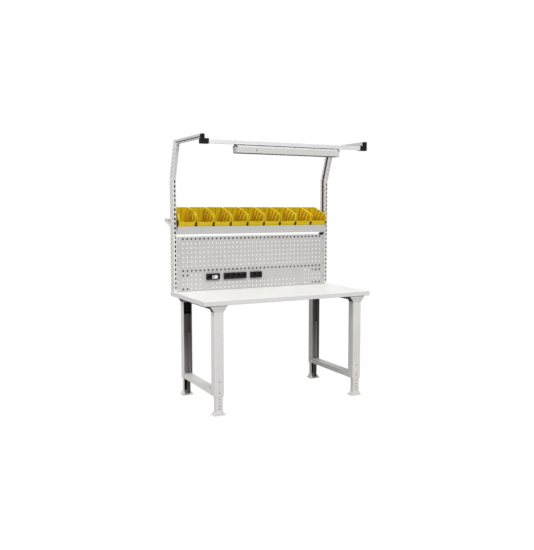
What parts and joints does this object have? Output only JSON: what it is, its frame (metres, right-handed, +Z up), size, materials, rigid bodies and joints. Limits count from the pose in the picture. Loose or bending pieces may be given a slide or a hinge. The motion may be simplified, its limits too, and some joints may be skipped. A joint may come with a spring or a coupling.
{
  "type": "electronics workbench",
  "caption": "Height-adjustable workbench with perforated back panels, power strips, a tilted shelf of open bins and an overhead lamp on a sliding cross rail.",
  "frame": {"origin": "centre of the bounding box on the floor plane", "axes": "+Z up, +X along the bench to the right, +Y from the front to the rear"},
  "size_m": [1.5, 0.9682, 2.129],
  "materials": {
    "laminate": "white laminate, satin",
    "frame_paint": "light grey powder coat, fine satin",
    "panel_paint": "grey powder coat, satin",
    "bin_plastic": "moulded yellow, semi-gloss",
    "black_plastic": "moulded black, satin",
    "aluminium": "clear anodised",
    "lamp_paint": "light grey gloss paint",
    "diffuser": "opal, matt",
    "white_plastic": "moulded white",
    "grey_plastic": "moulded grey",
    "zinc": "zinc plated"
  },
  "bodies": {
    "bench_frame": {"worktop": "laminate", "leg_column_front_left": "frame_paint", "leg_column_rear_left": "frame_paint", "leg_column_front_right": "frame_paint", "leg_column_rear_right": "frame_paint", "leg_bolt_front_left": "zinc", "leg_bolt_rear_left": "zinc", "leg_bolt_front_right": "zinc", "leg_bolt_rear_right": "zinc", "top_beam_left": "frame_paint", "side_rail_left": "frame_paint", "upright_left": "frame_paint", "panel_bracket_left": "black_plastic", "shelf_bracket_left": "frame_paint", "shelf_pivot_bolt_left": "zinc", "arm_left": "aluminium", "arm_cap_left": "black_plastic", "top_beam_right": "frame_paint", "side_rail_right": "frame_paint", "upright_right": "frame_paint", "panel_bracket_right": "black_plastic", "shelf_bracket_right": "frame_paint", "shelf_pivot_bolt_right": "zinc", "arm_right": "aluminium", "arm_cap_right": "black_plastic", "upper_panel": "panel_paint", "lower_panel": "panel_paint", "switch_housing": "black_plastic", "switch_plate": "white_plastic", "socket_strip_four": "black_plastic", "socket_strip_two": "black_plastic", "cord_clip": "black_plastic"},
    "leg_front_left": {"inner_leg_front_left": "frame_paint", "foot_front_left": "frame_paint"},
    "leg_rear_left": {"inner_leg_rear_left": "frame_paint", "foot_rear_left": "frame_paint"},
    "leg_front_right": {"inner_leg_front_right": "frame_paint", "foot_front_right": "frame_paint"},
    "leg_rear_right": {"inner_leg_rear_right": "frame_paint", "foot_rear_right": "frame_paint"},
    "shelf": {"shelf_tray": "panel_paint"},
    "bin_1": {"bin_1": "bin_plastic"},
    "bin_2": {"bin_2": "bin_plastic"},
    "bin_3": {"bin_3": "bin_plastic"},
    "bin_4": {"bin_4": "bin_plastic"},
    "bin_5": {"bin_5": "bin_plastic"},
    "bin_6": {"bin_6": "bin_plastic"},
    "bin_7": {"bin_7": "bin_plastic"},
    "bin_8": {"bin_8": "bin_plastic"},
    "bin_9": {"bin_9": "bin_plastic"},
    "light_carriage": {"rail_clamp_left": "black_plastic", "rail_clamp_right": "black_plastic", "cross_rail": "aluminium"},
    "lamp": {"lamp_housing": "lamp_paint", "lamp_diffuser": "diffuser", "lamp_end_cap_left": "lamp_paint", "lamp_end_cap_right": "lamp_paint", "lamp_hanger_left": "black_plastic", "lamp_hanger_right": "black_plastic"},
    "switch_rocker": {"switch_rocker": "grey_plastic"}
  },
  "joints": [
    {"name": "leg_front_left_height", "type": "slide", "parent": "bench_frame", "child": "leg_front_left", "axis": [0, 0, 1], "range_m": [-0.2, 0.1]},
    {"name": "leg_rear_left_height", "type": "slide", "parent": "bench_frame", "child": "leg_rear_left", "axis": [0, 0, 1], "range_m": [-0.2, 0.1]},
    {"name": "leg_front_right_height", "type": "slide", "parent": "bench_frame", "child": "leg_front_right", "axis": [0, 0, 1], "range_m": [-0.2, 0.1]},
    {"name": "leg_rear_right_height", "type": "slide", "parent": "bench_frame", "child": "leg_rear_right", "axis": [0, 0, 1], "range_m": [-0.2, 0.1]},
    {"name": "shelf_tilt", "type": "hinge", "parent": "bench_frame", "child": "shelf", "pos_m": [0, 0.22925, 1.39534], "axis": [-1, 0, 0], "range_deg": [0, 18]},
    {"name": "bin_1_lift", "type": "slide", "parent": "shelf", "child": "bin_1", "axis": [0, -0.309, 0.9511], "range_m": [0, 0.16]},
    {"name": "bin_2_lift", "type": "slide", "parent": "shelf", "child": "bin_2", "axis": [0, -0.309, 0.9511], "range_m": [0, 0.16]},
    {"name": "bin_3_lift", "type": "slide", "parent": "shelf", "child": "bin_3", "axis": [0, -0.309, 0.9511], "range_m": [0, 0.16]},
    {"name": "bin_4_lift", "type": "slide", "parent": "shelf", "child": "bin_4", "axis": [0, -0.309, 0.9511], "range_m": [0, 0.16]},
    {"name": "bin_5_lift", "type": "slide", "parent": "shelf", "child": "bin_5", "axis": [0, -0.309, 0.9511], "range_m": [0, 0.16]},
    {"name": "bin_6_lift", "type": "slide", "parent": "shelf", "child": "bin_6", "axis": [0, -0.309, 0.9511], "range_m": [0, 0.16]},
    {"name": "bin_7_lift", "type": "slide", "parent": "shelf", "child": "bin_7", "axis": [0, -0.309, 0.9511], "range_m": [0, 0.16]},
    {"name": "bin_8_lift", "type": "slide", "parent": "shelf", "child": "bin_8", "axis": [0, -0.309, 0.9511], "range_m": [0, 0.16]},
    {"name": "bin_9_lift", "type": "slide", "parent": "shelf", "child": "bin_9", "axis": [0, -0.309, 0.9511], "range_m": [0, 0.16]},
    {"name": "light_reach", "type": "slide", "parent": "bench_frame", "child": "light_carriage", "axis": [0, 1, 0], "range_m": [0, 0.3]},
    {"name": "lamp_shift", "type": "slide", "parent": "light_carriage", "child": "lamp", "axis": [1, 0, 0], "range_m": [-0.2, 0.2]},
    {"name": "switch_rock", "type": "hinge", "parent": "bench_frame", "child": "switch_rocker", "pos_m": [-0.3992, 0.16791, 1.003], "axis": [1, 0, 0], "range_deg": [-8, 8]}
  ]
}
